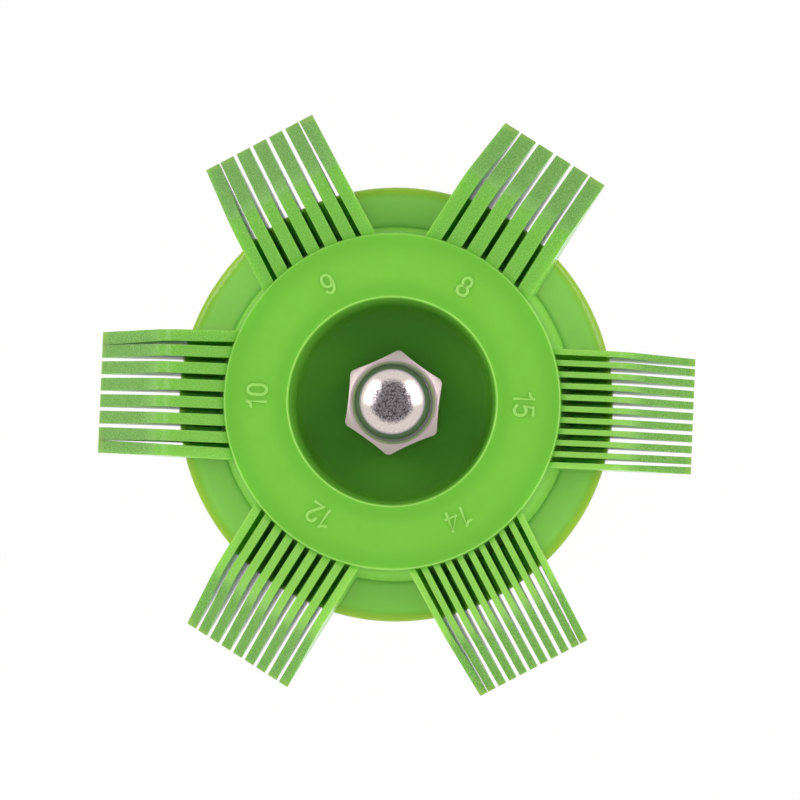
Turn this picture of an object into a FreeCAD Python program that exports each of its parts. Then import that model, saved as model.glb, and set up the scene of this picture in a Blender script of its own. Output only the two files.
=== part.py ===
import FreeCAD, Part
import Sketcher
import os

# Fin comb wheel clamped on a palm knob by a hexagon bolt and a cap nut.
# Millimetres. The axis of the wheel is +Z, the knob stands on its flat base at
# Z = 0, the cap nut is on top, and the finest comb head points along +X.

doc = FreeCAD.newDocument("FinComb")

# Driving dimensions

sizes = {
    # Hub of the comb wheel
    "wheel_height": 18.0,
    "hub_front_radius": 25.05,
    "hub_back_radius": 27.2,
    "hub_edge_round": 0.3,
    "recess_radius": 15.4,
    "recess_floor_radius": 14.7,
    "recess_edge_round": 0.35,
    "recess_corner_round": 1.2,
    "web_thickness": 4.2,
    "hub_wall": 2.2,
    "rib_thickness": 1.6,
    # Blades, measured outwards from the axis and down from the hub's face
    "inch": 25.4,
    "slot_width": 0.86,
    "blade_draft": 0.4,
    "blade_drop": 0.4,
    "bend_distance": 34.3,
    "bend_round": 4.0,
    "tip_distance": 45.7,
    "tip_front_depth": 20.8,
    "tip_height": 1.8,
    "tip_round": 0.35,
    "rear_bend_distance": 36.0,
    # Palm knob with its guard disc
    "disc_radius": 33.35,
    "disc_thickness": 2.8,
    "disc_rim_round": 1.2,
    "grip_height": 35.2,
    "base_radius": 15.0,
    "base_edge_round": 1.0,
    "bulb_radius": 20.0,
    "bulb_height": 9.0,
    "bulb_shoulder_round": 10.6,
    "neck_radius": 13.0,
    "neck_height": 24.0,
    "disc_root_round": 8.0,
    # Fasteners
    "bolt_diameter": 8.0,
    "bolt_hole_clearance": 0.4,
    "thread_engagement": 11.0,
    "bolt_end_chamfer": 1.0,
    "hexagon_flats": 14.0,
    "bolt_head_height": 5.5,
    "head_chamfer_angle": 30.0,
    "head_pocket_depth": 7.0,
    "head_pocket_clearance": 0.3,
    "nut_hexagon_height": 6.5,
    "nut_flat_hollow": 0.2,
    "nut_corner_round": 0.9,
    "nut_chamfer_angle": 20.0,
    "nut_crown_wall": 3.0,
    "collar_step": 0.6,
    "collar_height": 0.45,
    "collar_margin": 0.3,
    "dome_radius": 5.7,
    "dome_crown_round": 7.2,
    "dome_shoulder_round": 2.6,
    "nut_bore_end_gap": 1.0,
    "nut_bore_clearance": 0.15,
    "nut_turn": -3.8,
}

# Fins per inch, number of blades, direction and inward lean of the end blades of each head
heads = {
    "15": (15.0, 11, 0.0, 0.35),
    "8": (8.0, 6, 60.0, 0.4),
    "9": (9.0, 7, 120.0, 0.7),
    "10": (10.0, 8, 180.0, 1.15),
    "12": (12.0, 9, 240.0, 0.2),
    "14": (14.0, 11, 300.0, 0.85),
}

for head, (fins, blades, direction, lean) in heads.items():
    sizes[f"fins_{head}"] = fins
    sizes[f"blades_{head}"] = blades
    sizes[f"direction_{head}"] = direction
    sizes[f"lean_{head}"] = lean

sheet = doc.addObject("Spreadsheet::Sheet", "Sizes")
for row, (alias, size) in enumerate(sizes.items(), start=1):
    sheet.set(f"A{row}", str(size))
    sheet.setAlias(f"A{row}", alias)
doc.recompute()

# Heights above the base that several pieces share
disc_face = "Sizes.grip_height + Sizes.disc_thickness"
nut_seat = f"{disc_face} + Sizes.web_thickness"

# The nut is as tall as its blind bore and crown, its collar as wide as its dome and step
nut_bore_depth = "Sizes.thread_engagement + Sizes.nut_bore_end_gap"
nut_height = f"{nut_bore_depth} + Sizes.nut_crown_wall"
collar_radius = "Sizes.dome_radius + Sizes.collar_step"

# Blades run through the hub as far as the wall of its recess
blade_root = "Sizes.recess_radius + Sizes.hub_wall"


# Helpers

def bind(feature, **expressions):
    """Ties properties to expressions on the sheet."""
    for name, expression in expressions.items():
        feature.setExpression(name, expression)


def number(expression):
    return float(sheet.evalExpression(expression))


def origin_plane(body, role):
    return next(item for item in body.Origin.OriginFeatures if item.Role == role)


def new_body(name):
    return doc.addObject("PartDesign::Body", name)


def new_sketch(body, role, name):
    sketch = body.newObject("Sketcher::SketchObject", name)
    sketch.AttachmentSupport = [(origin_plane(body, role), "")]
    sketch.MapMode = "FlatFace"
    return sketch


def pin_coordinate(sketch, kind, edge, end, expression, name):
    """Sets one coordinate of a sketch point, on the axis itself where it is 0."""
    if expression == "0":
        axis = -2 if kind == "DistanceX" else -1
        sketch.addConstraint(Sketcher.Constraint("PointOnObject", edge, end, axis))
        return
    index = sketch.addConstraint(
        Sketcher.Constraint(kind, -1, 1, edge, end, number(expression)))
    sketch.renameConstraint(index, name)
    sketch.setExpression(f"Constraints.{name}", expression)


def draw_polygon(sketch, corners):
    """Closed outline through corners given as pairs of expressions."""
    first = sketch.GeometryCount
    points = [FreeCAD.Vector(number(x), number(y), 0) for x, y in corners]
    count = len(points)
    for i in range(count):
        sketch.addGeometry(Part.LineSegment(points[i], points[(i + 1) % count]), False)
    for i, (x, y) in enumerate(corners):
        edge = first + i
        following = first + (i + 1) % count
        sketch.addConstraint(Sketcher.Constraint("Coincident", edge, 2, following, 1))
        pin_coordinate(sketch, "DistanceX", edge, 1, x, f"x{edge}")
        pin_coordinate(sketch, "DistanceY", edge, 1, y, f"y{edge}")


def draw_circle(sketch, diameter):
    circle = Part.Circle(FreeCAD.Vector(0, 0, 0), FreeCAD.Vector(0, 0, 1), number(diameter) / 2)
    edge = sketch.addGeometry(circle, False)
    sketch.addConstraint(Sketcher.Constraint("Coincident", edge, 3, -1, 1))
    index = sketch.addConstraint(
        Sketcher.Constraint("Diameter", edge, number(diameter)))
    sketch.renameConstraint(index, "diameter")
    sketch.setExpression("Constraints.diameter", diameter)


def hexagon_corners(flats):
    corner = f"({flats}) / (2 * cos(30))"
    return [(f"{corner} * cos({60 * k + 30})", f"{corner} * sin({60 * k + 30})")
            for k in range(6)]


def arc_through(centre, radius, start, end):
    """Arc from start to end, counterclockwise about the centre."""
    circle = Part.Circle(centre, FreeCAD.Vector(0, 0, 1), radius)
    return Part.ArcOfCircle(circle, circle.parameter(start), circle.parameter(end))


def pad(body, name, sketch, length, symmetric=False, reverse=False):
    feature = body.newObject("PartDesign::Pad", name)
    feature.Profile = sketch
    feature.SideType = "Symmetric" if symmetric else "One side"
    feature.Reversed = reverse
    bind(feature, Length=length)
    doc.recompute()
    return feature


def pocket(body, name, sketch, depth, reverse=False):
    volume_before = body.Shape.Volume
    feature = body.newObject("PartDesign::Pocket", name)
    feature.Profile = sketch
    feature.Reversed = reverse
    bind(feature, Length=depth)
    doc.recompute()
    if body.Shape.Volume >= volume_before:
        raise RuntimeError(f"{name} removes nothing")
    return feature


def revolve(body, name, sketch, kind="PartDesign::Revolution"):
    feature = body.newObject(kind, name)
    feature.Profile = sketch
    feature.ReferenceAxis = (sketch, ["V_Axis"])
    feature.Angle = 360
    doc.recompute()
    return feature


def dress_edges(body, kind, name, chosen, **size):
    """Fillets or chamfers the edges of the body's tip for which chosen(edge) holds."""
    base = body.Tip
    names = [f"Edge{i}" for i, edge in enumerate(base.Shape.Edges, start=1) if chosen(edge)]
    feature = body.newObject(kind, name)
    feature.Base = (base, names)
    bind(feature, **size)
    doc.recompute()


def round_edges(body, name, chosen, radius):
    dress_edges(body, "PartDesign::Fillet", name, chosen, Radius=radius)


def is_circle(edge, radius, z):
    """True for a full circle of this radius about the axis at this height."""
    curve = edge.Curve
    if not isinstance(curve, Part.Circle):
        return False
    on_axis = abs(curve.Center.x) + abs(curve.Center.y) < 1e-4
    return on_axis and abs(curve.Radius - radius) < 1e-4 and abs(curve.Center.z - z) < 1e-4


# Comb wheel: local Z = 0 is the face that lies on the guard disc

def make_hub():
    body = new_body("Hub")
    section = new_sketch(body, "XZ_Plane", "HubSection")
    bore = "(Sizes.bolt_diameter + Sizes.bolt_hole_clearance) / 2"
    draw_polygon(section, [
        (bore, "0"),
        ("Sizes.hub_back_radius", "0"),
        ("Sizes.hub_front_radius", "Sizes.wheel_height"),
        ("Sizes.recess_radius", "Sizes.wheel_height"),
        ("Sizes.recess_floor_radius", "Sizes.web_thickness"),
        (bore, "Sizes.web_thickness"),
    ])
    revolve(body, "HubTurn", section)
    top = number("Sizes.wheel_height")
    floor = number("Sizes.web_thickness")
    round_edges(body, "HubEdge",
                lambda edge: is_circle(edge, number("Sizes.hub_front_radius"), top),
                "Sizes.hub_edge_round")
    round_edges(body, "RecessEdge",
                lambda edge: is_circle(edge, number("Sizes.recess_radius"), top),
                "Sizes.recess_edge_round")
    round_edges(body, "RecessCorner",
                lambda edge: is_circle(edge, number("Sizes.recess_floor_radius"), floor),
                "Sizes.recess_corner_round")
    return body


def make_blade_side():
    """The side view that all blades share, as a slab across a whole head."""
    body = new_body("BladeSide")
    outline = new_sketch(body, "XZ_Plane", "BladeOutline")
    face = "Sizes.wheel_height - Sizes.blade_drop"
    tip_front = "Sizes.wheel_height - Sizes.tip_front_depth"
    draw_polygon(outline, [
        (blade_root, "0"),
        ("Sizes.rear_bend_distance", "0"),
        ("Sizes.tip_distance", f"{tip_front} - Sizes.tip_height"),
        ("Sizes.tip_distance", tip_front),
        ("Sizes.bend_distance", face),
        (blade_root, face),
    ])
    pad(body, "BladeSlab", outline, "2 * Sizes.hub_front_radius", symmetric=True)

    def across_at(x, z):
        return lambda edge: all(abs(v.X - x) + abs(v.Z - z) < 1e-4 for v in edge.Vertexes)

    bend_x, bend_z = number("Sizes.bend_distance"), number(face)
    round_edges(body, "BladeBend", across_at(bend_x, bend_z), "Sizes.bend_round")
    tip_x, tip_z = number("Sizes.tip_distance"), number(tip_front)
    round_edges(body, "BladeTip", across_at(tip_x, tip_z), "Sizes.tip_round")
    return body


def draw_blade_section(sketch, thickness):
    """Cross-section of one blade: thicker towards the back by the draft."""
    depth = "(Sizes.tip_front_depth + Sizes.tip_height)"
    front = f"({thickness}) / 2"
    back = f"({front} + {depth} * tan(Sizes.blade_draft))"
    bottom = f"Sizes.wheel_height - {depth}"
    draw_polygon(sketch, [
        (f"-{back}", bottom),
        (back, bottom),
        (front, "Sizes.wheel_height"),
        (f"-{front}", "Sizes.wheel_height"),
    ])


def new_blade_section(body, name, thickness, sideways, lean="0"):
    """Sketch of a blade section at the blade roots, moved sideways and turned inwards."""
    sketch = new_sketch(body, "YZ_Plane", name)
    sketch.AttachmentOffset = FreeCAD.Placement(
        FreeCAD.Vector(0, 0, 0), FreeCAD.Rotation(FreeCAD.Vector(0, 1, 0), -1))
    sketch.setExpression("AttachmentOffset.Base.x", sideways)
    sketch.setExpression("AttachmentOffset.Base.z", blade_root)
    sketch.setExpression("AttachmentOffset.Rotation.Angle", f"-{lean} * 1 deg")
    draw_blade_section(sketch, thickness)
    return sketch


def make_blade_row(head):
    """Straight drafted blades of one head, still without their side view."""
    body = new_body(f"Row{head}")
    body.AllowCompound = True
    pitch = f"Sizes.inch / Sizes.fins_{head}"
    thickness = f"{pitch} - Sizes.slot_width"
    reach = f"Sizes.tip_distance - ({blade_root}) + Sizes.tip_height"
    half_row = f"(Sizes.blades_{head} - 1) / 2 * {pitch}"

    inner = new_blade_section(body, f"BladeSection{head}", thickness, f"{pitch} - {half_row}")
    blade = pad(body, f"Blade{head}", inner, reach)
    row = body.newObject("PartDesign::LinearPattern", f"Blades{head}")
    row.Originals = [blade]
    row.Direction = (inner, ["H_Axis"])
    bind(row, Length=f"(Sizes.blades_{head} - 3) * {pitch}",
         Occurrences=f"Sizes.blades_{head} - 2")
    body.Tip = row
    doc.recompute()

    outer = new_blade_section(body, f"EndSection{head}", thickness, half_row,
                              lean=f"Sizes.lean_{head}")
    end_blade = pad(body, f"EndBlade{head}", outer, reach)
    pair = body.newObject("PartDesign::Mirrored", f"EndBlades{head}")
    pair.Originals = [end_blade]
    pair.MirrorPlane = (origin_plane(body, "XZ_Plane"), [""])
    body.Tip = pair
    doc.recompute()
    return body


def make_core():
    """What the mould leaves out of the hub from behind, in six ribbed chambers."""
    body = new_body("Core")
    section = new_sketch(body, "XZ_Plane", "CoreSection")
    roof = "Sizes.wheel_height - Sizes.hub_wall"
    draw_polygon(section, [
        ("Sizes.recess_floor_radius + Sizes.hub_wall", "0"),
        ("Sizes.hub_back_radius - Sizes.hub_wall", "0"),
        ("Sizes.hub_front_radius - Sizes.hub_wall", roof),
        ("Sizes.recess_radius + Sizes.hub_wall", roof),
    ])
    revolve(body, "CoreRing", section)
    ribs = new_sketch(body, "XY_Plane", "RibSection")
    near, far, half = "Sizes.recess_floor_radius", "Sizes.hub_back_radius", "Sizes.rib_thickness / 2"
    outline = [(near, f"-{half}"), (far, f"-{half}"), (far, half), (near, half)]
    for turn in range(30, 390, 60):
        draw_polygon(ribs, [
            (f"{x} * cos({turn}) - {y} * sin({turn})", f"{x} * sin({turn}) + {y} * cos({turn})")
            for x, y in outline
        ])
    pocket(body, "Ribs", ribs, "Sizes.wheel_height", reverse=True)
    return body


def make_comb_wheel():
    hub = make_hub()
    side = make_blade_side()
    parts = [hub]
    for head in heads:
        row = make_blade_row(head)
        comb = doc.addObject("Part::Common", f"Comb{head}")
        comb.Base = row
        comb.Tool = side
        turned = doc.addObject("Part::Compound", f"Head{head}")
        turned.Links = [comb]
        turned.Placement = FreeCAD.Placement(
            FreeCAD.Vector(0, 0, 0), FreeCAD.Rotation(FreeCAD.Vector(0, 0, 1), 1))
        turned.setExpression("Placement.Rotation.Angle", f"Sizes.direction_{head} * 1 deg")
        parts.append(turned)
    solid_wheel = doc.addObject("Part::MultiFuse", "SolidWheel")
    solid_wheel.Shapes = parts
    wheel = doc.addObject("Part::Cut", "CombWheel")
    wheel.Base = solid_wheel
    wheel.Tool = make_core()
    wheel.Label = "comb_wheel"
    wheel.setExpression("Placement.Base.z", disc_face)
    doc.recompute()
    return wheel


# Palm knob: grip turned about the axis, guard disc on top

def draw_knob_section(sketch):
    """Half section: flat base, bulb, hollow and straight neck, guard disc."""
    flare = "(Sizes.bulb_radius - Sizes.base_radius)"
    foot_round = f"(({flare}^2 + Sizes.bulb_height^2) / (2 * {flare}))"
    waist = "(Sizes.bulb_radius - Sizes.neck_radius)"
    rise = "(Sizes.neck_height - Sizes.bulb_height)"
    neck_round = (f"(({rise}^2 + {waist}^2 - 2 * {waist} * Sizes.bulb_shoulder_round)"
                  f" / (2 * {waist}))")
    foot_x = f"Sizes.bulb_radius - {foot_round}"
    shoulder_x = "Sizes.bulb_radius - Sizes.bulb_shoulder_round"
    neck_x = f"Sizes.neck_radius + {neck_round}"

    def point(x, y):
        return FreeCAD.Vector(number(x), number(y), 0)

    foot_centre = point(foot_x, "Sizes.bulb_height")
    shoulder_centre = point(shoulder_x, "Sizes.bulb_height")
    neck_centre = point(neck_x, "Sizes.neck_height")
    shoulder_radius, neck_arc_radius = number("Sizes.bulb_shoulder_round"), number(neck_round)
    share = shoulder_radius / (shoulder_radius + neck_arc_radius)
    meeting = shoulder_centre + (neck_centre - shoulder_centre) * share
    base_corner = point("Sizes.base_radius", "0")
    widest = point("Sizes.bulb_radius", "Sizes.bulb_height")
    neck_low = point("Sizes.neck_radius", "Sizes.neck_height")
    neck_top = point("Sizes.neck_radius", "Sizes.grip_height")
    rim_back = point("Sizes.disc_radius", "Sizes.grip_height")
    rim_front = point("Sizes.disc_radius", disc_face)
    axis_base = point("0", "0")
    axis_front = point("0", disc_face)

    base = sketch.addGeometry(Part.LineSegment(axis_base, base_corner), False)
    foot = sketch.addGeometry(
        arc_through(foot_centre, number(foot_round), base_corner, widest), False)
    shoulder = sketch.addGeometry(
        arc_through(shoulder_centre, shoulder_radius, widest, meeting), False)
    hollow = sketch.addGeometry(
        arc_through(neck_centre, neck_arc_radius, neck_low, meeting), False)
    neck = sketch.addGeometry(Part.LineSegment(neck_low, neck_top), False)
    under = sketch.addGeometry(Part.LineSegment(neck_top, rim_back), False)
    rim = sketch.addGeometry(Part.LineSegment(rim_back, rim_front), False)
    front = sketch.addGeometry(Part.LineSegment(rim_front, axis_front), False)
    axis = sketch.addGeometry(Part.LineSegment(axis_front, axis_base), False)

    joints = [(base, 2, foot, 1), (neck, 2, under, 1), (under, 2, rim, 1),
              (rim, 2, front, 1), (front, 2, axis, 1), (axis, 2, base, 1)]
    for first, first_end, second, second_end in joints:
        sketch.addConstraint(
            Sketcher.Constraint("Coincident", first, first_end, second, second_end))
    sketch.addConstraint(Sketcher.Constraint("Tangent", foot, 2, shoulder, 1))
    sketch.addConstraint(Sketcher.Constraint("Tangent", shoulder, 2, hollow, 2))
    sketch.addConstraint(Sketcher.Constraint("Tangent", hollow, 1, neck, 1))
    sketch.addConstraint(Sketcher.Constraint("Coincident", base, 1, -1, 1))
    pin_coordinate(sketch, "DistanceX", foot, 1, "Sizes.base_radius", "base_x")
    pin_coordinate(sketch, "DistanceY", foot, 1, "0", "base_y")
    pin_coordinate(sketch, "DistanceX", foot, 3, foot_x, "foot_x")
    pin_coordinate(sketch, "DistanceY", foot, 3, "Sizes.bulb_height", "foot_y")
    pin_coordinate(sketch, "DistanceY", foot, 2, "Sizes.bulb_height", "widest_y")
    pin_coordinate(sketch, "DistanceX", shoulder, 3, shoulder_x, "shoulder_x")
    pin_coordinate(sketch, "DistanceX", hollow, 3, neck_x, "neck_x")
    pin_coordinate(sketch, "DistanceY", hollow, 3, "Sizes.neck_height", "neck_y")
    sketch.addConstraint(Sketcher.Constraint("Vertical", neck))
    pin_coordinate(sketch, "DistanceY", under, 1, "Sizes.grip_height", "disc_root_y")
    pin_coordinate(sketch, "DistanceX", under, 2, "Sizes.disc_radius", "rim_x")
    sketch.addConstraint(Sketcher.Constraint("Horizontal", under))
    sketch.addConstraint(Sketcher.Constraint("Vertical", rim))
    sketch.addConstraint(Sketcher.Constraint("Horizontal", front))
    pin_coordinate(sketch, "DistanceY", front, 2, disc_face, "disc_y")
    pin_coordinate(sketch, "DistanceX", front, 2, "0", "axis_x")


def make_palm_knob():
    body = new_body("PalmKnob")
    body.Label = "palm_knob"
    section = new_sketch(body, "XZ_Plane", "KnobSection")
    draw_knob_section(section)
    revolve(body, "KnobTurn", section)

    disc_back = number("Sizes.grip_height")
    disc_front = number(disc_face)
    rim = number("Sizes.disc_radius")
    round_edges(body, "DiscRim",
                lambda edge: is_circle(edge, rim, disc_back) or is_circle(edge, rim, disc_front),
                "min(Sizes.disc_rim_round; 0.45 * Sizes.disc_thickness)")
    round_edges(body, "BaseEdge",
                lambda edge: is_circle(edge, number("Sizes.base_radius"), 0),
                "Sizes.base_edge_round")
    round_edges(body, "DiscRoot",
                lambda edge: is_circle(edge, number("Sizes.neck_radius"), disc_back),
                "Sizes.disc_root_round")

    hexagon = new_sketch(body, "XY_Plane", "HeadPocketSection")
    draw_polygon(hexagon, hexagon_corners("Sizes.hexagon_flats + Sizes.head_pocket_clearance"))
    pocket(body, "HeadPocket", hexagon, "Sizes.head_pocket_depth", reverse=True)
    hole = new_sketch(body, "XY_Plane", "BoltHoleSection")
    draw_circle(hole, "Sizes.bolt_diameter + Sizes.bolt_hole_clearance")
    pocket(body, "BoltHole", hole, disc_face, reverse=True)
    return body


# Fasteners

def chamfer_hexagon(body, name, face_radius, angle, top, sign):
    """Turns the corners of a hexagon off to a cone outside its round end face."""
    cutter = new_sketch(body, "XZ_Plane", f"{name}Section")
    corner = "Sizes.hexagon_flats / (2 * cos(30)) + 1"
    fall = f"({corner} - {face_radius}) * tan({angle})"
    draw_polygon(cutter, [
        (face_radius, top),
        (corner, top),
        (corner, f"{top} {sign} {fall}"),
    ])
    revolve(body, name, cutter, kind="PartDesign::Groove")


def make_through_bolt():
    """Local Z = 0 is the plane under the head, which points down."""
    bolt_length = f"{nut_seat} - Sizes.head_pocket_depth + Sizes.thread_engagement"
    body = new_body("ThroughBolt")
    body.Label = "through_bolt"
    head = new_sketch(body, "XY_Plane", "BoltHeadSection")
    draw_polygon(head, hexagon_corners("Sizes.hexagon_flats"))
    pad(body, "BoltHead", head, "Sizes.bolt_head_height", reverse=True)
    chamfer_hexagon(body, "BoltHeadChamfer", "Sizes.hexagon_flats / 2",
                    "Sizes.head_chamfer_angle", "-Sizes.bolt_head_height", "+")
    shank = new_sketch(body, "XY_Plane", "ShankSection")
    draw_circle(shank, "Sizes.bolt_diameter")
    pad(body, "Shank", shank, bolt_length)
    shank_radius, end = number("Sizes.bolt_diameter / 2"), number(bolt_length)
    dress_edges(body, "PartDesign::Chamfer", "ShankEnd",
                lambda edge: is_circle(edge, shank_radius, end), Size="Sizes.bolt_end_chamfer")
    body.setExpression("Placement.Base.z", "Sizes.head_pocket_depth")
    return body


def draw_nut_hexagon(sketch):
    """Hexagon whose flats are slightly hollow, as cold forming leaves them."""
    side = "(Sizes.hexagon_flats / sqrt(3))"
    hollow_round = f"({side}^2 / 4 + Sizes.nut_flat_hollow^2) / (2 * Sizes.nut_flat_hollow)"
    radius = number(hollow_round)
    reach = number(f"Sizes.hexagon_flats / 2 - Sizes.nut_flat_hollow + {hollow_round}")
    corners = hexagon_corners("Sizes.hexagon_flats")
    points = [FreeCAD.Vector(number(x), number(y), 0) for x, y in corners]
    for k, point in enumerate(points):
        following = points[(k + 1) % 6]
        centre = (point + following).normalize() * reach
        sketch.addGeometry(arc_through(centre, radius, following, point), False)
    for k, (x, y) in enumerate(corners):
        sketch.addConstraint(Sketcher.Constraint("Coincident", k, 1, (k + 1) % 6, 2))
        pin_coordinate(sketch, "DistanceX", k, 2, x, f"x{k}")
        pin_coordinate(sketch, "DistanceY", k, 2, y, f"y{k}")
        index = sketch.addConstraint(Sketcher.Constraint("Radius", k, radius))
        sketch.renameConstraint(index, f"round{k}")
        sketch.setExpression(f"Constraints.round{k}", hollow_round)


def draw_collar_section(sketch):
    """Low cone between the top of the hexagon and the foot of the dome."""
    draw_polygon(sketch, [
        ("0", "Sizes.nut_hexagon_height / 2"),
        (collar_radius, "Sizes.nut_hexagon_height / 2"),
        (collar_radius, "Sizes.nut_hexagon_height"),
        (f"{collar_radius} - Sizes.collar_height",
         "Sizes.nut_hexagon_height + Sizes.collar_height"),
        ("0", "Sizes.nut_hexagon_height + Sizes.collar_height"),
    ])


def draw_dome_section(sketch):
    """Half section of the flattened dome: side, shoulder and crown."""
    crown_centre = f"{nut_height} - Sizes.dome_crown_round"
    inset = "(Sizes.dome_radius - Sizes.dome_shoulder_round)"
    gap = "(Sizes.dome_crown_round - Sizes.dome_shoulder_round)"
    shoulder_height = f"{crown_centre} + sqrt({gap}^2 - {inset}^2)"
    foot = "Sizes.nut_hexagon_height"

    crown = FreeCAD.Vector(0, number(crown_centre), 0)
    shoulder = FreeCAD.Vector(number(inset), number(shoulder_height), 0)
    crown_radius = number("Sizes.dome_crown_round")
    shoulder_radius = number("Sizes.dome_shoulder_round")
    meeting = crown + (shoulder - crown).normalize() * crown_radius
    top = FreeCAD.Vector(0, number(nut_height), 0)
    side_top = FreeCAD.Vector(number("Sizes.dome_radius"), shoulder.y, 0)
    side_low = FreeCAD.Vector(side_top.x, number(foot), 0)
    axis_low = FreeCAD.Vector(0, number(foot), 0)

    low = sketch.addGeometry(Part.LineSegment(axis_low, side_low), False)
    side = sketch.addGeometry(Part.LineSegment(side_low, side_top), False)
    round_over = sketch.addGeometry(
        arc_through(shoulder, shoulder_radius, side_top, meeting), False)
    cap = sketch.addGeometry(arc_through(crown, crown_radius, meeting, top), False)
    axis = sketch.addGeometry(Part.LineSegment(top, axis_low), False)
    sketch.addConstraint(Sketcher.Constraint("Coincident", low, 2, side, 1))
    sketch.addConstraint(Sketcher.Constraint("Tangent", side, 2, round_over, 1))
    sketch.addConstraint(Sketcher.Constraint("Tangent", round_over, 2, cap, 1))
    sketch.addConstraint(Sketcher.Constraint("Coincident", cap, 2, axis, 1))
    sketch.addConstraint(Sketcher.Constraint("Coincident", axis, 2, low, 1))
    sketch.addConstraint(Sketcher.Constraint("Horizontal", low))
    pin_coordinate(sketch, "DistanceX", low, 1, "0", "low_x")
    pin_coordinate(sketch, "DistanceY", low, 1, foot, "low_y")
    pin_coordinate(sketch, "DistanceX", low, 2, "Sizes.dome_radius", "side_x")
    pin_coordinate(sketch, "DistanceX", round_over, 3, inset, "shoulder_x")
    pin_coordinate(sketch, "DistanceY", round_over, 3, shoulder_height, "shoulder_y")
    pin_coordinate(sketch, "DistanceX", cap, 3, "0", "crown_x")
    pin_coordinate(sketch, "DistanceY", cap, 3, crown_centre, "crown_y")
    pin_coordinate(sketch, "DistanceX", cap, 2, "0", "top_x")


def make_cap_nut():
    """Local Z = 0 is the seat of the nut on the floor of the recess."""
    body = new_body("CapNut")
    body.Label = "cap_nut"
    hexagon = new_sketch(body, "XY_Plane", "NutHexagonSection")
    draw_nut_hexagon(hexagon)
    pad(body, "NutHexagon", hexagon, "Sizes.nut_hexagon_height")
    corner = number("Sizes.hexagon_flats / (2 * cos(30))")

    def is_upright_corner(edge):
        return all(abs((v.X ** 2 + v.Y ** 2) ** 0.5 - corner) < 1e-3 for v in edge.Vertexes) \
            and abs(edge.Vertexes[0].Z - edge.Vertexes[-1].Z) > 1

    round_edges(body, "NutCorners", is_upright_corner, "Sizes.nut_corner_round")
    chamfer_hexagon(body, "NutChamfer", f"({collar_radius} + Sizes.collar_margin)",
                    "Sizes.nut_chamfer_angle", "Sizes.nut_hexagon_height", "-")
    collar = new_sketch(body, "XZ_Plane", "CollarSection")
    draw_collar_section(collar)
    revolve(body, "Collar", collar)
    dome = new_sketch(body, "XZ_Plane", "DomeSection")
    draw_dome_section(dome)
    revolve(body, "Dome", dome)
    bore = new_sketch(body, "XY_Plane", "NutBoreSection")
    draw_circle(bore, "Sizes.bolt_diameter + Sizes.nut_bore_clearance")
    pocket(body, "NutBore", bore, nut_bore_depth, reverse=True)
    body.Placement = FreeCAD.Placement(
        FreeCAD.Vector(0, 0, 0), FreeCAD.Rotation(FreeCAD.Vector(0, 0, 1), 1))
    body.setExpression("Placement.Base.z", nut_seat)
    body.setExpression("Placement.Rotation.Angle", "Sizes.nut_turn * 1 deg")
    return body


def check_document():
    doc.recompute()
    for item in doc.Objects:
        if {"Invalid", "Error"} & set(item.State):
            raise RuntimeError(f"{item.Name} did not compute: {item.State}")


def export(pieces):
    os.makedirs("parts", exist_ok=True)
    for piece in pieces:
        shape = piece.Shape
        if shape.isNull() or not shape.isValid():
            raise RuntimeError(f"{piece.Label} has no valid shape")
    for piece in pieces:
        piece.Shape.exportStep(f"parts/{piece.Label}.step")
        print(piece.Label, "solids", len(piece.Shape.Solids), "volume", round(piece.Shape.Volume, 1))


pieces = [make_comb_wheel(), make_palm_knob(), make_through_bolt(), make_cap_nut()]
check_document()
export(pieces)
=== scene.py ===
import math

import bpy
from mathutils import Matrix, Vector


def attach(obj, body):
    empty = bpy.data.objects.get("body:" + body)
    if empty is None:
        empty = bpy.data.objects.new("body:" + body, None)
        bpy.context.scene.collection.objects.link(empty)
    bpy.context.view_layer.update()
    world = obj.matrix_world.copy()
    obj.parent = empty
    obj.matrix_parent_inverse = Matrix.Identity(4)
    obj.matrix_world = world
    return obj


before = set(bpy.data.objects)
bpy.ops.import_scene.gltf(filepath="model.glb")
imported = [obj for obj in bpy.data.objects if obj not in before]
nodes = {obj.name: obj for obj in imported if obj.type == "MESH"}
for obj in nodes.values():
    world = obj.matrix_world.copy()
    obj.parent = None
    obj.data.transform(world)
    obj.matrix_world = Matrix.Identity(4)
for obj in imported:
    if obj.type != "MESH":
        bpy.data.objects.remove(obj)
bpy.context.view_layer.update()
mm = 0.001

print("frame loaded")


# Shader sockets as numbers

class Wire:
    def __init__(self, finish, socket):
        self.finish = finish
        self.socket = socket

    def math(self, operation, *values):
        return self.finish.node("ShaderNodeMath", {"operation": operation}, dict(enumerate(values)))

    def __add__(self, other):
        return self.math("ADD", self, other)

    def __radd__(self, other):
        return self.math("ADD", other, self)

    def __sub__(self, other):
        return self.math("SUBTRACT", self, other)

    def __rsub__(self, other):
        return self.math("SUBTRACT", other, self)

    def __mul__(self, other):
        return self.math("MULTIPLY", self, other)

    def __rmul__(self, other):
        return self.math("MULTIPLY", other, self)

    def __pow__(self, other):
        return self.math("POWER", self, other)

    def larger(self, other):
        return self.math("MAXIMUM", self, other)


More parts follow.
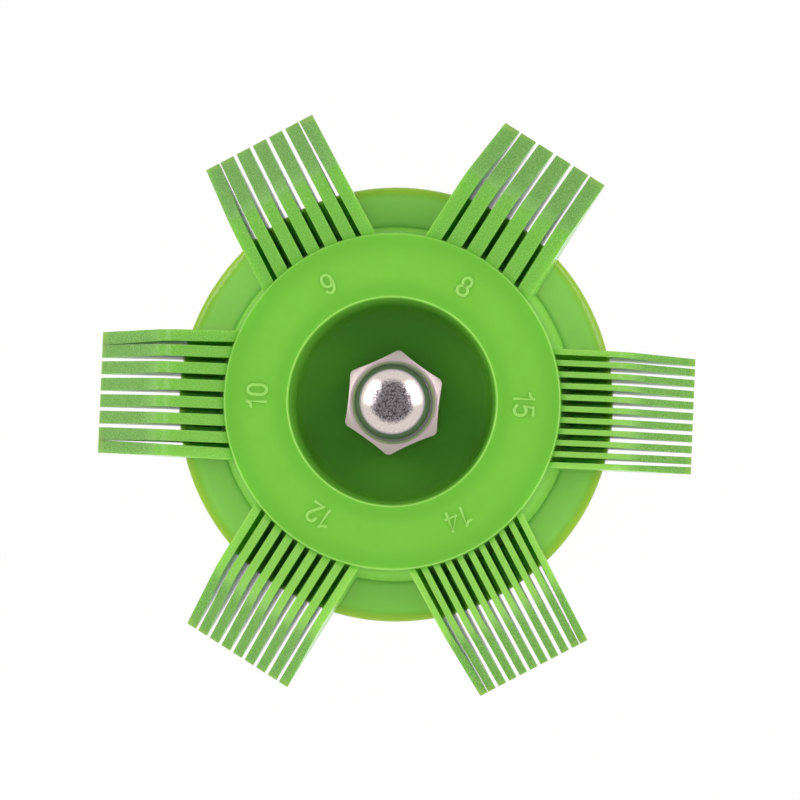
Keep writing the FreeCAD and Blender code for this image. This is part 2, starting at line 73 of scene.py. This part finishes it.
class Finish:
    def __init__(self, owner):
        owner.use_nodes = True
        self.owner = owner
        self.tree = owner.node_tree
        self.tree.nodes.clear()

    def node(self, kind, settings, values, output=0):
        made = self.tree.nodes.new(kind)
        for name, setting in settings.items():
            if name == "stops":
                self.setStops(made.color_ramp, setting)
            else:
                setattr(made, name, setting)
        for name, value in values.items():
            target = made.inputs[name]
            if isinstance(value, Wire):
                self.tree.links.new(value.socket, target)
            else:
                target.default_value = value
        return Wire(self, made.outputs[output]) if made.outputs else None

    def setStops(self, ramp, stops):
        while len(ramp.elements) < len(stops):
            ramp.elements.new(0.5)
        for element, (place, level) in zip(ramp.elements, stops):
            element.position = place
            element.color = (level, level, level, 1)

    # position on the piece in millimetres, and its three parts
    def place(self):
        raw = self.node("ShaderNodeTexCoord", {}, {}, output="Object")
        return self.node("ShaderNodeVectorMath", {"operation": "SCALE"}, {0: raw, "Scale": 1000.0})

    def parts(self, vector):
        return [self.node("ShaderNodeSeparateXYZ", {}, {0: vector}, output=i) for i in range(3)]

    # 0 below low, 1 above high, smooth between
    def step(self, value, low, high):
        return self.node("ShaderNodeMapRange", {"interpolation_type": "SMOOTHSTEP"},
                         {"Value": value, "From Min": low, "From Max": high})

    # 1 at the middle, 0 beyond the width on either side
    def ridge(self, value, middle, width):
        away = self.node("ShaderNodeMath", {"operation": "ABSOLUTE"}, {0: value - middle})
        return 1.0 - self.step(away, 0.0, width)

    def noise(self, vector, scale, detail=2.0, roughness=0.5):
        return self.node("ShaderNodeTexNoise", {}, {
            "Vector": vector, "Scale": scale, "Detail": detail, "Roughness": roughness})

    def blend(self, share, first, second):
        return self.node("ShaderNodeMix", {"data_type": "RGBA"}, {
            0: share, 6: colour(first), 7: colour(second)}, output=2)

    # edges softened by a radius in metres, with a relief on top
    def bump(self, height, strength, distance, edge=0.0):
        values = {"Height": height, "Strength": strength, "Distance": distance}
        if edge:
            values["Normal"] = self.node("ShaderNodeBevel", {"samples": 6}, {"Radius": edge})
        return self.node("ShaderNodeBump", {}, values)

    def surface(self, values):
        shader = self.node("ShaderNodeBsdfPrincipled", {}, values)
        self.node("ShaderNodeOutputMaterial", {}, {"Surface": shader})
        return self.owner


# sRGB 0-255 to the linear colour of a socket
def colour(value):
    if isinstance(value, Wire):
        return value
    return tuple(((c / 255 + 0.055) / 1.055) ** 2.4 if c > 10 else c / 3295 for c in value) + (1.0,)


def newFinish(name):
    return Finish(bpy.data.materials.new(name))


# Finishes

combGreen = {
    "body": (129, 204, 71),
    "shade": (124, 199, 67),
    # painted shade on the hub face
    "paintedRimShade": (115, 188, 63),
    # painted highlight at moulded edges
    "edgeHighlight": (172, 226, 116),
    # painted light and shade on the blade tops
    "bladePaintedLit": (140, 206, 84),
    "bladePaintedShade": (113, 180, 68),
    "grainLight": (162, 216, 112),
    # painted shade on the sloping tips
    "slopeShade": (82, 150, 12),
    # painted sheen on the walls between the blades
    "side": (152, 224, 92),
    "fringe": (120, 170, 48),
    "bladeStart": 25.0,
    "slopeStart": 34.5,
    "fringeStart": 45.2,
    "tipEnd": 45.75,
    "roughness": 0.22,
    "grain": 5.0,
    "specular": 0.2,
    "glow": 0.6,
    "glowRadius": (0.8, 1.0, 0.5),
    "glowScale": 0.005,
    "speckShare": 0.6,
    "edge": 0.00012,
    "recessEdge": 15.62,
    "hubEdge": 24.88,
    "lineWidth": 0.16,
    "face": 56.0,
}


def makeCombGreen():
    look = combGreen
    finish = newFinish("combGreen")
    place = finish.place()
    x, y, z = finish.parts(place)
    radius = (x * x + y * y) ** 0.5
    mottle = finish.noise(place, 0.35, detail=3.0)
    grain = finish.noise(place, look["grain"], detail=3.0, roughness=0.7)
    body = finish.blend(mottle, look["shade"], look["body"])
    # painted shade: the hub face darker in rings near its outer edge and near the recess
    paintedRimShade = finish.step(radius, 21.0, 24.6)
    paintedRimShade = paintedRimShade.larger(1.0 - finish.step(radius, 16.2, 19.0))
    body = finish.blend(paintedRimShade, body, look["paintedRimShade"])
    blade = finish.step(radius, look["bladeStart"], look["bladeStart"] + 1.2)
    # painted shade: the sloping blade tips darker green
    slopeShade = finish.step(radius, look["slopeStart"], look["slopeStart"] + 4.0)
    fringe = finish.step(radius, look["fringeStart"], look["tipEnd"])
    # painted light and shade: the blade tops are lighter towards the lower right and darker towards
    # the upper left
    towardLight = x * 0.35 - y
    top = finish.blend(finish.step(towardLight, -26.0, 32.0), look["bladePaintedShade"], look["bladePaintedLit"])
    base = finish.blend(blade, body, top)
    base = finish.blend(slopeShade, base, look["slopeShade"])
    specks = finish.step(grain, 0.44, 0.66) * blade * look["speckShare"]
    base = finish.blend(specks, base, look["grainLight"])
    base = finish.blend(fringe, base, look["fringe"])
    # the walls between the blades are painted paler than their tops: a painted sheen standing in
    # for their grazing reflection
    normal = finish.node("ShaderNodeTexCoord", {}, {}, output="Normal")
    facing = finish.parts(normal)[2]
    base = finish.blend(blade * (1.0 - finish.step(facing, 0.15, 0.35)), base, look["side"])
    # painted highlights: fine pale lines at the hub's outer edge and at the recess edge, dimmer to
    # the upper left, stand in for moulded edges catching the light
    paintedHighlight = finish.ridge(radius, look["hubEdge"], look["lineWidth"])
    paintedHighlight = paintedHighlight * (0.3 + 0.6 * finish.step(towardLight, -20.0, 5.0))
    paintedHighlight = paintedHighlight.larger(finish.ridge(radius, look["recessEdge"], look["lineWidth"]))
    paintedHighlight = paintedHighlight * finish.step(z, look["face"] - 0.45, look["face"] - 0.3)
    base = finish.blend(paintedHighlight * (0.3 + mottle * 0.9), base, look["edgeHighlight"])
    return finish.surface({
        "Base Color": base,
        "Roughness": look["roughness"] + (grain - 0.5) * 0.12,
        "Specular IOR Level": look["specular"],
        "Subsurface Weight": look["glow"],
        "Subsurface Radius": look["glowRadius"],
        "Subsurface Scale": look["glowScale"],
        "Normal": finish.bump(grain, 0.12, 0.00005, look["edge"]),
    })


knobGreen = {
    "body": (132, 206, 78),
    "shade": (126, 200, 72),
    # painted light on the knob's front face
    "disc": (173, 217, 121),
    # painted glow at the thin outer edge
    "rim": (150, 186, 8),
    "discStart": 27.0,
    "discFace": 35.6,
    "rimStart": 31.3,
    "rimEnd": 33.0,
    "roughness": 0.3,
    "glow": 0.7,
    "glowRadius": (0.7, 1.0, 0.4),
    "glowScale": 0.006,
}


def makeKnobGreen():
    look = knobGreen
    finish = newFinish("knobGreen")
    place = finish.place()
    x, y, z = finish.parts(place)
    radius = (x * x + y * y) ** 0.5
    mottle = finish.noise(place, 0.12, detail=2.0)
    body = finish.blend(mottle, look["shade"], look["body"])
    # painted light: the knob's wide front face a paler green, standing in for light shining through
    # the thin plastic
    disc = finish.step(radius, look["discStart"], look["discStart"] + 1.0)
    disc = disc * finish.step(z, look["discFace"], look["discFace"] + 1.6)
    # painted glow: the thin outer edge yellow-green, strongest at the front face, standing in for
    # light shining through it
    rim = finish.step(radius, look["rimStart"], look["rimEnd"])
    rim = rim * (0.4 + 0.6 * finish.step(z, look["discFace"] - 1.6, look["discFace"]))
    base = finish.blend(disc, body, look["disc"])
    base = finish.blend(rim, base, look["rim"])
    wave = finish.noise(place, 0.12, detail=1.0)
    return finish.surface({
        "Base Color": base,
        "Roughness": look["roughness"] + (mottle - 0.5) * 0.1,
        "Subsurface Weight": look["glow"],
        "Subsurface Radius": look["glowRadius"],
        "Subsurface Scale": look["glowScale"],
        "Normal": finish.bump(wave, 0.08, 0.0004),
    })


nickelPlate = {
    "bright": (232, 218, 212),
    # painted dark reflection at the dome's centre
    "crown": (186, 176, 180),
    "dull": (72, 66, 72),
    "hexagonBright": (255, 226, 234),
    # painted shade at the dome's foot
    "foot": (156, 150, 160),
    "roughness": 0.1,
    "hexagonRoughness": 0.34,
    "hexagonDull": 0.1,
    "domeEdge": 5.75,
    "footStart": 4.5,
    "footEnd": 4.9,
    # less metal at the dome's foot, part of its painted shade
    "footDarkening": 0.2,
    "crownStart": 2.6,
    "crownEnd": 3.6,
    "speck": 3.8,
}


def makeNickelPlate():
    look = nickelPlate
    finish = newFinish("nickelPlate")
    place = finish.place()
    x, y, z = finish.parts(place)
    radius = (x * x + y * y) ** 0.5
    hexagon = finish.step(radius, look["domeEdge"], look["domeEdge"] + 0.3)
    speck = finish.noise(place, look["speck"], detail=4.0, roughness=0.75)
    # painted dark reflection: the dome darker at its centre
    crown = 1.0 - finish.step(radius, look["crownStart"], look["crownEnd"])
    # dark specks are stains all over; their heavier share at the centre is part of the painted dark
    # reflection
    stainsAndCrownDark = finish.step(speck, 0.46, 0.56) * (0.12 + crown * 0.8)
    dull = look["hexagonRoughness"] - look["roughness"]
    base = finish.blend(crown, look["bright"], look["crown"])
    base = finish.blend(stainsAndCrownDark, base, look["dull"])
    # painted shade: the dome's foot, where it meets the hexagon, darker and less metallic
    foot = finish.step(radius, look["footStart"], look["footEnd"])
    footDarkBand = foot * (1.0 - finish.step(radius, look["domeEdge"] + 0.6, look["domeEdge"] + 1.0))
    base = finish.blend(foot, base, look["foot"])
    base = finish.blend(hexagon, base, look["hexagonBright"])
    return finish.surface({
        "Base Color": base,
        "Metallic": 1.0 - hexagon * look["hexagonDull"] - footDarkBand * look["footDarkening"],
        "Roughness": look["roughness"] + stainsAndCrownDark * 0.1 + hexagon * dull,
        "Normal": finish.bump(speck, 0.2, 0.0001),
    })


zincPlate = {
    "bright": (206, 206, 200),
    "dull": (168, 168, 160),
    "roughness": 0.34,
}


def makeZincPlate():
    look = zincPlate
    finish = newFinish("zincPlate")
    place = finish.place()
    cloud = finish.noise(place, 0.9, detail=5.0, roughness=0.7)
    return finish.surface({
        "Base Color": finish.blend(cloud, look["dull"], look["bright"]),
        "Metallic": 1.0,
        "Roughness": look["roughness"] + (cloud - 0.5) * 0.2,
        "Normal": finish.bump(cloud, 0.08, 0.0001),
    })


numberGreen = {
    # painted highlight: the raised numbers paler than the hub
    "body": (158, 222, 98),
    "roughness": 0.3,
}


def makeNumberGreen():
    look = numberGreen
    finish = newFinish("numberGreen")
    grain = finish.noise(finish.place(), 4.0, detail=2.0)
    return finish.surface({
        # painted highlight: numbers a paler green, mixed with the hub's green by grain
        "Base Color": finish.blend(grain * 0.4, look["body"], combGreen["body"]),
        "Roughness": look["roughness"] + (grain - 0.5) * 0.1,
        "Normal": finish.bump(grain, 0.1, 0.00005),
    })


finishes = {
    "comb_wheel": makeCombGreen(),
    "palm_knob": makeKnobGreen(),
    "cap_nut": makeNickelPlate(),
    "through_bolt": makeZincPlate(),
}
for name, material in finishes.items():
    node = nodes[name]
    node.data.materials.clear()
    node.data.materials.append(material)

print("finishes made")


# Raised numbers on the hub, one group beside each head

numbers = {
    "height": 2.8,
    "strokeRadius": 0.235,
    "raise": 0.16,
    "advance": 0.66,
    "face": 56.0,
    # number: direction of its head, distance from the axis, sideways, own turn
    "groups": {
        "15": (0.0, 19.6, 0.35, 0.0),
        "8": (60.0, 20.2, 0.0, 0.0),
        "9": (120.0, 19.9, 0.3, 0.0),
        "10": (180.0, 20.1, 0.0, 0.0),
        "12": (240.0, 20.1, 0.0, -2.5),
        "14": (300.0, 20.0, 0.6, -6.0),
    },
}

# centre lines in shares of the height: (closed, [(x, y, corner)])
digitStrokes = {
    "0": [(True, [(0.0, 0.5, 0), (0.03, 0.83, 0), (0.25, 1.0, 0), (0.47, 0.83, 0),
                  (0.5, 0.5, 0), (0.47, 0.17, 0), (0.25, 0.0, 0), (0.03, 0.17, 0)])],
    "1": [(False, [(-0.02, 0.79, 1), (0.16, 0.84, 0), (0.28, 1.0, 1), (0.28, 0.0, 1)])],
    "2": [(False, [(0.0, 0.74, 0), (0.07, 0.93, 0), (0.25, 1.0, 0), (0.44, 0.92, 0),
                   (0.48, 0.7, 0), (0.34, 0.45, 0), (0.0, 0.0, 1), (0.52, 0.0, 1)])],
    "4": [(False, [(0.42, 0.0, 1), (0.42, 1.0, 1), (0.0, 0.3, 1), (0.56, 0.3, 1)])],
    "5": [(False, [(0.46, 1.0, 1), (0.06, 1.0, 1), (0.02, 0.53, 1), (0.24, 0.62, 0),
                   (0.46, 0.5, 0), (0.5, 0.3, 0), (0.42, 0.08, 0), (0.22, 0.0, 0),
                   (-0.02, 0.13, 0)])],
    "8": [(True, [(0.26, 0.53, 0), (0.06, 0.62, 0), (0.03, 0.79, 0), (0.12, 0.95, 0),
                  (0.26, 1.0, 0), (0.4, 0.95, 0), (0.49, 0.79, 0), (0.46, 0.62, 0)]),
          (True, [(0.26, 0.53, 0), (0.04, 0.42, 0), (-0.02, 0.24, 0), (0.07, 0.06, 0),
                  (0.26, 0.0, 0), (0.45, 0.06, 0), (0.54, 0.24, 0), (0.48, 0.42, 0)])],
    "9": [(False, [(0.5, 0.68, 0), (0.44, 0.42, 0), (0.26, 0.34, 0), (0.06, 0.45, 0),
                   (0.0, 0.68, 0), (0.07, 0.91, 0), (0.26, 1.0, 0), (0.45, 0.9, 0),
                   (0.52, 0.62, 0), (0.47, 0.22, 0), (0.34, 0.03, 0), (0.18, 0.0, 0),
                   (0.02, 0.14, 0)])],
}


def deselectAll():
    if bpy.context.mode != "OBJECT":
        bpy.ops.object.mode_set(mode="OBJECT")
    bpy.ops.object.select_all(action="DESELECT")


def makeStroke(closed, points, shift):
    deselectAll()
    bpy.ops.curve.primitive_bezier_curve_add(location=(0, 0, 0))
    curve = bpy.context.object
    curve.data.dimensions = "3D"
    curve.data.resolution_u = 8
    curve.data.bevel_depth = numbers["strokeRadius"] * mm
    curve.data.bevel_resolution = 3
    spline = curve.data.splines[0]
    spline.bezier_points.add(len(points) - 2)
    spline.use_cyclic_u = closed
    for point, (x, y, corner) in zip(spline.bezier_points, points):
        height = numbers["height"] * mm
        point.co = ((x + shift) * height, y * height, 0)
        kind = "VECTOR" if corner else "AUTO"
        point.handle_left_type = kind
        point.handle_right_type = kind
    bpy.ops.object.convert(target="MESH")
    pieces = [bpy.context.object]
    if not closed:
        for x, y, corner in (points[0], points[-1]):
            pieces.append(makeStrokeEnd(x + shift, y))
    pieces += [makeStrokeEnd(x + shift, y) for x, y, corner in points[1:-1] if corner]
    return pieces


def makeStrokeEnd(x, y):
    deselectAll()
    height = numbers["height"] * mm
    bpy.ops.mesh.primitive_uv_sphere_add(
        segments=16, ring_count=8, radius=numbers["strokeRadius"] * mm,
        location=(x * height, y * height, 0))
    return bpy.context.object


def makeNumber(text):
    direction, distance, sideways, turn = numbers["groups"][text]
    pieces = []
    shift = 0.0
    for digit in text:
        for closed, points in digitStrokes[digit]:
            pieces += makeStroke(closed, points, shift)
        shift += numbers["advance"]
    deselectAll()
    for piece in pieces:
        piece.select_set(True)
    bpy.context.view_layer.objects.active = pieces[0]
    bpy.ops.object.transform_apply(location=True, rotation=True, scale=True)
    bpy.ops.object.join()
    number = bpy.context.object
    number.name = f"number{text}"
    xs = [v.co.x for v in number.data.vertices]
    ys = [v.co.y for v in number.data.vertices]
    centre = Vector(((min(xs) + max(xs)) / 2, (min(ys) + max(ys)) / 2, 0))
    flatten = Matrix.Diagonal((1, 1, numbers["raise"] / numbers["strokeRadius"], 1))
    upright = Matrix.Rotation(math.radians(turn - 90), 4, "Z")
    outwards = Matrix.Rotation(math.radians(direction), 4, "Z")
    number.data.transform(
        outwards @ Matrix.Translation((distance * mm, sideways * mm, numbers["face"] * mm))
        @ upright @ flatten @ Matrix.Translation(-centre))
    bpy.ops.object.shade_smooth()
    number.data.materials.clear()
    number.data.materials.append(numberFinish)
    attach(number, "root")
    return number


numberFinish = makeNumberGreen()
for text in numbers["groups"]:
    makeNumber(text)

print("numbers made")


# Studio: pale floor, two broad softboxes, pale room, camera over the front face

studio = {
    "floorSize": 6.0,
    "floorLevel": -0.1,  # mm, so that the foot and the floor don't share one plane
    "floorWhite": 0.6,
    "shadowShare": 0.1,
    "floorGlow": 1.05,
    # brightness by height above the horizon: as metal and as plain surfaces see the room
    "mirrorStops": [(0.0, 0.9), (0.24, 1.0), (0.62, 1.0), (0.69, 0.56), (1.0, 0.5)],
    "mirrorFill": 0.9,
    "skyStops": [(0.0, 0.9), (0.24, 1.0), (0.62, 1.0), (0.69, 0.3), (1.0, 0.3)],
    "roomFill": 1.09,
    "fillLean": 0.6,
    "boxDistance": 1.0,
    "boxPolar": 56.0,
    "boxAzimuths": (155.0, 25.0),
    "boxWidth": 0.46,
    "boxLength": 0.88,
    "boxRadiance": 3.2,
}

cameraPlace = {
    "frontHeight": 56.0,
    "sideways": 17.2,
    "up": -12.9,
    "distance": 559.6,
    "aimSideways": 1.19,
    "aimUp": 0.21,
    "roll": 2.4,
    "focalPixels": 3772.0,
    "imagePixels": 800.0,
    "sensorWidth": 36.0,
    "clipStart": 0.01,
    "clipEnd": 20.0,
}


def imageAxes():
    turn = math.radians(cameraPlace["roll"])
    right = Vector((math.cos(turn), math.sin(turn), 0))
    up = Vector((-math.sin(turn), math.cos(turn), 0))
    return right, up


def makeFloor():
    deselectAll()
    bpy.ops.mesh.primitive_plane_add(
        size=studio["floorSize"], location=(0, 0, studio["floorLevel"] * mm))
    floor = bpy.context.object
    floor.name = "floor"
    finish = newFinish("paleFloor")
    camera = finish.node("ShaderNodeLightPath", {}, {}, output="Is Camera Ray")
    glossy = finish.node("ShaderNodeLightPath", {}, {}, output="Is Glossy Ray")
    through = finish.node("ShaderNodeLightPath", {}, {}, output="Is Transmission Ray")
    seen = camera.larger(glossy).larger(through)
    white = (studio["floorWhite"],) * 3 + (1.0,)
    plain = finish.node("ShaderNodeBsdfDiffuse", {}, {"Color": white})
    glow = finish.node("ShaderNodeEmission", {}, {
        "Color": (1, 1, 1, 1), "Strength": studio["floorGlow"]})
    shader = finish.node("ShaderNodeMixShader", {}, {
        0: seen * (1.0 - studio["shadowShare"]), 1: plain, 2: glow})
    finish.node("ShaderNodeOutputMaterial", {}, {"Surface": shader})
    floor.data.materials.append(finish.owner)


def makeRoom():
    world = bpy.data.worlds.new("room")
    bpy.context.scene.world = world
    finish = Finish(world)
    camera = finish.node("ShaderNodeLightPath", {}, {}, output="Is Camera Ray")
    glossy = finish.node("ShaderNodeLightPath", {}, {}, output="Is Glossy Ray")
    direction = finish.node("ShaderNodeTexCoord", {}, {}, output="Generated")
    x, y, z = finish.parts(direction)
    ring = finish.node("ShaderNodeValToRGB", {"stops": studio["mirrorStops"]}, {0: z})
    sky = finish.node("ShaderNodeValToRGB", {"stops": studio["skyStops"]}, {0: z})
    fill = finish.node("ShaderNodeBackground", {}, {
        "Color": (1, 1, 1, 1),
        "Strength": sky * studio["roomFill"] * (1.0 - y * studio["fillLean"])})
    mirror = finish.node("ShaderNodeBackground", {}, {
        "Color": ring, "Strength": studio["mirrorFill"]})
    white = finish.node("ShaderNodeBackground", {}, {"Color": (1, 1, 1, 1), "Strength": 1.0})
    inner = finish.node("ShaderNodeMixShader", {}, {0: glossy, 1: fill, 2: mirror})
    outer = finish.node("ShaderNodeMixShader", {}, {0: camera, 1: inner, 2: white})
    finish.node("ShaderNodeOutputWorld", {}, {"Surface": outer})


def makeSoftbox(azimuth):
    right, up = imageAxes()
    around = math.radians(azimuth)
    polar = math.radians(studio["boxPolar"])
    out = right * math.cos(around) + up * math.sin(around)
    direction = out * math.sin(polar) + Vector((0, 0, math.cos(polar)))
    light = bpy.data.lights.new("softbox", "AREA")
    light.shape = "RECTANGLE"
    light.size = studio["boxWidth"]
    light.size_y = studio["boxLength"]
    light.energy = studio["boxRadiance"] * math.pi * studio["boxWidth"] * studio["boxLength"]
    box = bpy.data.objects.new("softbox", light)
    bpy.context.scene.collection.objects.link(box)
    centre = Vector((0, 0, cameraPlace["frontHeight"] * mm))
    box.location = centre + direction * studio["boxDistance"]
    across = Vector((0, 0, 1)).cross(direction).normalized()
    side = across.cross(direction).normalized()
    box.rotation_mode = "QUATERNION"
    box.rotation_quaternion = Matrix((side, across, direction)).transposed().to_quaternion()


def makeCamera():
    right, up = imageAxes()
    front = Vector((0, 0, cameraPlace["frontHeight"] * mm))
    eye = front + (right * cameraPlace["sideways"] + up * cameraPlace["up"]) * mm
    eye.z += cameraPlace["distance"] * mm
    aim = front + (right * cameraPlace["aimSideways"] + up * cameraPlace["aimUp"]) * mm
    back = (eye - aim).normalized()
    across = up.cross(back).normalized()
    top = back.cross(across)
    data = bpy.data.cameras.new("camera")
    data.sensor_width = cameraPlace["sensorWidth"]
    data.lens = data.sensor_width * cameraPlace["focalPixels"] / cameraPlace["imagePixels"]
    data.clip_start = cameraPlace["clipStart"]
    data.clip_end = cameraPlace["clipEnd"]
    camera = bpy.data.objects.new("camera", data)
    bpy.context.scene.collection.objects.link(camera)
    camera.rotation_mode = "QUATERNION"
    camera.location = eye
    camera.rotation_quaternion = Matrix((across, top, back)).transposed().to_quaternion()
    bpy.context.scene.camera = camera


makeFloor()
makeRoom()
for azimuth in studio["boxAzimuths"]:
    makeSoftbox(azimuth)
makeCamera()
bpy.context.scene.view_settings.view_transform = "Standard"

print("studio made")
